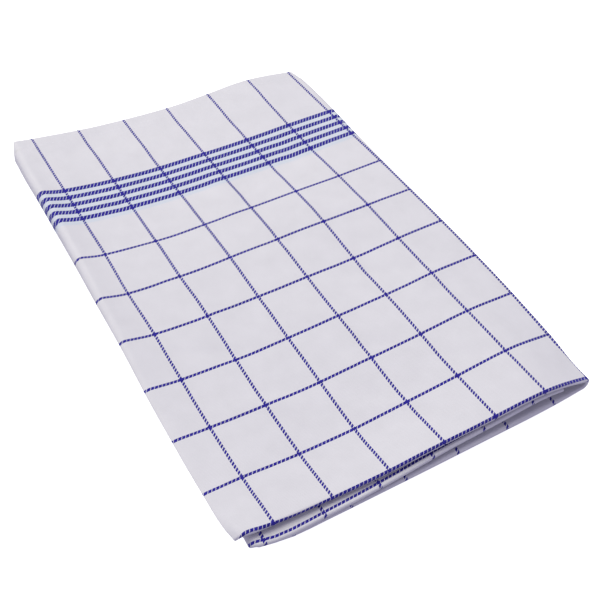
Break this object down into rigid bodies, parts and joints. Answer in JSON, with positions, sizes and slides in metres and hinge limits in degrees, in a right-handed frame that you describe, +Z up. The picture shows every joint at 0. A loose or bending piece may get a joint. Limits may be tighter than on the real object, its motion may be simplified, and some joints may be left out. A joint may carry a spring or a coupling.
{
  "type": "tea towel",
  "caption": "Cotton twill kitchen towel with a dark blue windowpane check and a striped border, folded to a flat pad for drying or display.",
  "frame": {"origin": "on the resting surface, under the middle of the folded pad's bounding box", "axes": "+Z up from the resting surface, +Y along the cloth's length from the front fold towards the hems, +X across its width, from the hanging selvages towards the right-hand fold"},
  "size_m": [0.2214, 0.3314, 0.0189],
  "materials": {
    "cotton_twill": "white cotton twill with dark blue check lines and a border of five stripes"
  },
  "bodies": {
    "root": {"towel_cloth": "cotton_twill"}
  },
  "joints": []
}
